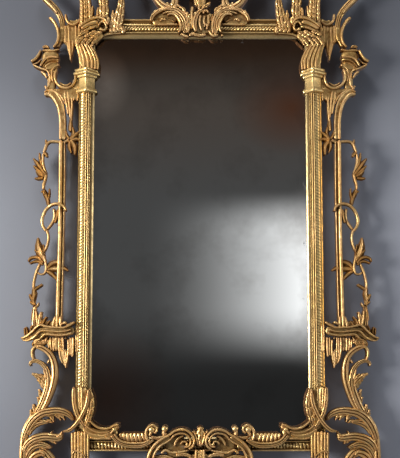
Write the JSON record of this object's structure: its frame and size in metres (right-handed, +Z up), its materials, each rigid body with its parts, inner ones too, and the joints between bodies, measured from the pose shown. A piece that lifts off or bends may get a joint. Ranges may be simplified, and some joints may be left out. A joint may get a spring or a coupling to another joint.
{
  "type": "pier mirror",
  "caption": "Tall wall mirror in a carved giltwood frame with side colonnettes, climbing vines, shelf brackets, crest and apron; it hangs by strap hangers with swinging rings.",
  "frame": {"origin": "on the wall plane, at the middle of the back face of the middle batten, which is the middle of the frame's height and width", "axes": "+X to the right seen from the front, +Y towards the wall, +Z up; the mirror faces -Y"},
  "size_m": [0.9878, 0.0774, 1.606],
  "materials": {
    "frame_gilding": "water gilding over gesso, worn to the bole on the beads",
    "burnished_gilding": "pale burnished gold leaf",
    "carved_gilding": "gold leaf on carved wood, dark in the hollows, red bole on worn edges",
    "mirror_glass": "old silvered plate, foxed along its edges",
    "back_boards": "unpainted pine, darkened with age",
    "back_battens": "unpainted pine",
    "hanger_iron": "blackened wrought iron",
    "screw_steel": "dulled steel"
  },
  "bodies": {
    "mirror": {"stile_left": "frame_gilding", "stile_right": "frame_gilding", "rail_top": "frame_gilding", "rail_bottom": "frame_gilding", "slip_left": "burnished_gilding", "slip_right": "burnished_gilding", "slip_top": "burnished_gilding", "slip_bottom": "burnished_gilding", "mirror_plate": "mirror_glass", "backboard_1": "back_boards", "backboard_2": "back_boards", "backboard_3": "back_boards", "back_batten_upper": "back_battens", "back_batten_middle": "back_battens", "back_batten_lower": "back_battens", "crest_brace": "back_battens", "apron_brace": "back_battens", "colonnette_left": "carved_gilding", "colonnette_right": "carved_gilding", "shelf_left": "carved_gilding", "shelf_right": "carved_gilding", "shelf_fringe_left": "carved_gilding", "shelf_fringe_right": "carved_gilding", "under_scroll_left": "carved_gilding", "under_scroll_right": "carved_gilding", "lower_acanthus_left": "carved_gilding", "lower_acanthus_right": "carved_gilding", "crossed_rushes_left": "carved_gilding", "crossed_rushes_right": "carved_gilding", "corner_drip_left": "carved_gilding", "corner_drip_right": "carved_gilding", "bottom_scroll_left": "carved_gilding", "bottom_scroll_right": "carved_gilding", "capital_left": "carved_gilding", "capital_right": "carved_gilding", "capital_plume_left": "carved_gilding", "capital_plume_right": "carved_gilding", "shoulder_scroll_left": "carved_gilding", "shoulder_scroll_right": "carved_gilding", "corner_leaf_left": "carved_gilding", "corner_leaf_right": "carved_gilding", "crest_plume_left": "carved_gilding", "crest_plume_right": "carved_gilding", "crest_scroll_left": "carved_gilding", "crest_scroll_right": "carved_gilding", "vine_left": "carved_gilding", "vine_right": "carved_gilding", "crest_finial": "carved_gilding", "apron_cartouche": "carved_gilding", "hanger_strap_left": "hanger_iron", "hanger_strap_right": "hanger_iron", "hanger_screw_upper_left": "screw_steel", "hanger_screw_upper_right": "screw_steel", "hanger_screw_lower_left": "screw_steel", "hanger_screw_lower_right": "screw_steel"},
    "ring_left": {"hanger_ring_left": "hanger_iron"},
    "ring_right": {"hanger_ring_right": "hanger_iron"}
  },
  "joints": [
    {"name": "ring_left_swing", "type": "hinge", "parent": "mirror", "child": "ring_left", "pos_m": [-0.32136, -0.0045, 0.3], "axis": [1, 0, 0], "range_deg": [0, 175]},
    {"name": "ring_right_swing", "type": "hinge", "parent": "mirror", "child": "ring_right", "pos_m": [0.32136, -0.0045, 0.3], "axis": [1, 0, 0], "range_deg": [0, 175]}
  ]
}
